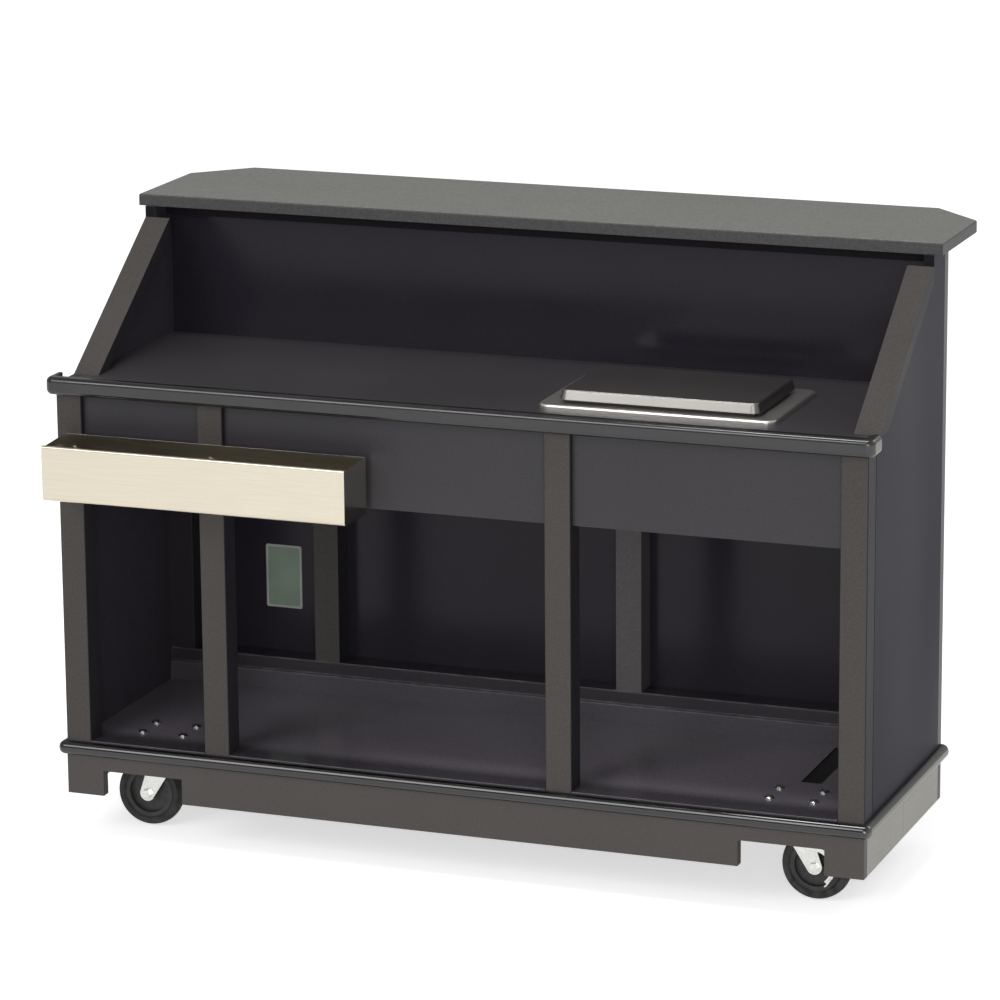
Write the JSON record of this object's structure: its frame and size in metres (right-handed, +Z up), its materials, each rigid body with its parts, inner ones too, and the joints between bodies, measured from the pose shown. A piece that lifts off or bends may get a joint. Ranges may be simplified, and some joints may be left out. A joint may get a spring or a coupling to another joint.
{
  "type": "portable bar",
  "caption": "Portable bar on swivel casters: open cabinet, worktop with lidded ice bin and bottle rail, raised customer top with cut corners.",
  "frame": {"origin": "on the floor below the middle of the whole bar, speed rail and bar top included", "axes": "+Z up, +X along the bar to the bartender's right, +Y towards the customer"},
  "size_m": [1.524, 0.816, 1.11],
  "materials": {
    "panel_laminate": "board with a black gloss laminate",
    "frame_laminate": "wood with a charcoal satin laminate",
    "apron_laminate": "board with a charcoal satin laminate",
    "worktop_laminate": "board with a dark satin laminate",
    "bar_top_laminate": "board with a grey satin laminate",
    "platform_board": "board with a black laminate",
    "floor_laminate": "charcoal gloss laminate sheet",
    "skirt_laminate": "board with a charcoal satin laminate",
    "edge_vinyl": "extruded vinyl edge, semi-gloss",
    "stainless_steel": "brushed stainless sheet",
    "insulating_foam": "rigid foam",
    "valve_brass": "cast brass",
    "lever_paint": "red dipped steel",
    "bracket_paint": "black powder coat",
    "zinc_plate": "bright zinc plate",
    "wheel_core": "black moulded core",
    "tyre_rubber": "black rubber"
  },
  "bodies": {
    "root": {"customer_panel": "panel_laminate", "left_side_panel": "panel_laminate", "right_side_panel": "panel_laminate", "left_front_post": "frame_laminate", "left_middle_post": "frame_laminate", "right_middle_post": "frame_laminate", "right_front_post": "frame_laminate", "left_rear_post": "frame_laminate", "left_middle_rear_post": "frame_laminate", "right_middle_rear_post": "frame_laminate", "right_rear_post": "frame_laminate", "rear_bottom_rail": "frame_laminate", "left_wing_rail": "frame_laminate", "right_wing_rail": "frame_laminate", "bar_top_cleat": "frame_laminate", "left_apron": "apron_laminate", "middle_apron": "apron_laminate", "right_apron": "apron_laminate", "worktop": "worktop_laminate", "bar_top": "bar_top_laminate", "base_platform": "platform_board", "floor_liner": "floor_laminate", "front_skirt": "skirt_laminate", "rear_skirt": "skirt_laminate", "left_skirt_front": "skirt_laminate", "left_skirt_rear": "skirt_laminate", "right_skirt_front": "skirt_laminate", "right_skirt_rear": "skirt_laminate", "platform_bumper": "edge_vinyl", "worktop_nosing": "edge_vinyl", "ice_bin_liner": "stainless_steel", "speed_rail": "stainless_steel", "speed_rail_screws": "stainless_steel", "ice_bin_jacket": "insulating_foam", "drain_valve_body": "valve_brass", "bar_top_brackets": "bracket_paint", "caster_bolts": "zinc_plate", "front_left_caster_plate": "zinc_plate", "rear_left_caster_plate": "zinc_plate", "front_right_caster_plate": "zinc_plate", "rear_right_caster_plate": "zinc_plate"},
    "lid": {"ice_bin_lid": "stainless_steel"},
    "valve_handle": {"drain_valve_lever": "lever_paint"},
    "front_left_swivel": {"front_left_caster_fork": "zinc_plate", "front_left_caster_axle": "zinc_plate"},
    "rear_left_swivel": {"rear_left_caster_fork": "zinc_plate", "rear_left_caster_axle": "zinc_plate"},
    "front_right_swivel": {"front_right_caster_fork": "zinc_plate", "front_right_caster_axle": "zinc_plate"},
    "rear_right_swivel": {"rear_right_caster_fork": "zinc_plate", "rear_right_caster_axle": "zinc_plate"},
    "front_right_brake": {"front_right_caster_brake_lever": "zinc_plate"},
    "front_left_wheel": {"front_left_caster_hub": "wheel_core", "front_left_caster_tyre": "tyre_rubber"},
    "rear_left_wheel": {"rear_left_caster_hub": "wheel_core", "rear_left_caster_tyre": "tyre_rubber"},
    "front_right_wheel": {"front_right_caster_hub": "wheel_core", "front_right_caster_tyre": "tyre_rubber"},
    "rear_right_wheel": {"rear_right_caster_hub": "wheel_core", "rear_right_caster_tyre": "tyre_rubber"}
  },
  "joints": [
    {"name": "front_left_swivel_turn", "type": "hinge", "parent": "root", "child": "front_left_swivel", "pos_m": [-0.594, -0.198, 0.14], "axis": [0, 0, 1], "continuous": true},
    {"name": "front_left_wheel_roll", "type": "hinge", "parent": "front_left_swivel", "child": "front_left_wheel", "pos_m": [-0.633, -0.198, 0.0625], "axis": [0, 1, 0], "continuous": true},
    {"name": "rear_left_swivel_turn", "type": "hinge", "parent": "root", "child": "rear_left_swivel", "pos_m": [-0.594, 0.055, 0.14], "axis": [0, 0, 1], "continuous": true},
    {"name": "rear_left_wheel_roll", "type": "hinge", "parent": "rear_left_swivel", "child": "rear_left_wheel", "pos_m": [-0.633, 0.055, 0.0625], "axis": [0, 1, 0], "continuous": true},
    {"name": "front_right_swivel_turn", "type": "hinge", "parent": "root", "child": "front_right_swivel", "pos_m": [0.594, -0.198, 0.14], "axis": [0, 0, 1], "continuous": true},
    {"name": "front_right_wheel_roll", "type": "hinge", "parent": "front_right_swivel", "child": "front_right_wheel", "pos_m": [0.633, -0.198, 0.0625], "axis": [0, 1, 0], "continuous": true},
    {"name": "rear_right_swivel_turn", "type": "hinge", "parent": "root", "child": "rear_right_swivel", "pos_m": [0.594, 0.055, 0.14], "axis": [0, 0, 1], "continuous": true},
    {"name": "rear_right_wheel_roll", "type": "hinge", "parent": "rear_right_swivel", "child": "rear_right_wheel", "pos_m": [0.633, 0.055, 0.0625], "axis": [0, 1, 0], "continuous": true},
    {"name": "brake_press", "type": "hinge", "parent": "front_right_swivel", "child": "front_right_brake", "pos_m": [0.618, -0.198, 0.106], "axis": [0, 1, 0], "range_deg": [0, 6]},
    {"name": "lid_lift", "type": "slide", "parent": "root", "child": "lid", "axis": [0, 0, 1], "range_m": [0, 0.26]},
    {"name": "drain_valve_turn", "type": "hinge", "parent": "root", "child": "valve_handle", "pos_m": [0.343, -0.096, 0.6405], "axis": [0, 1, 0], "range_deg": [0, 90]}
  ]
}
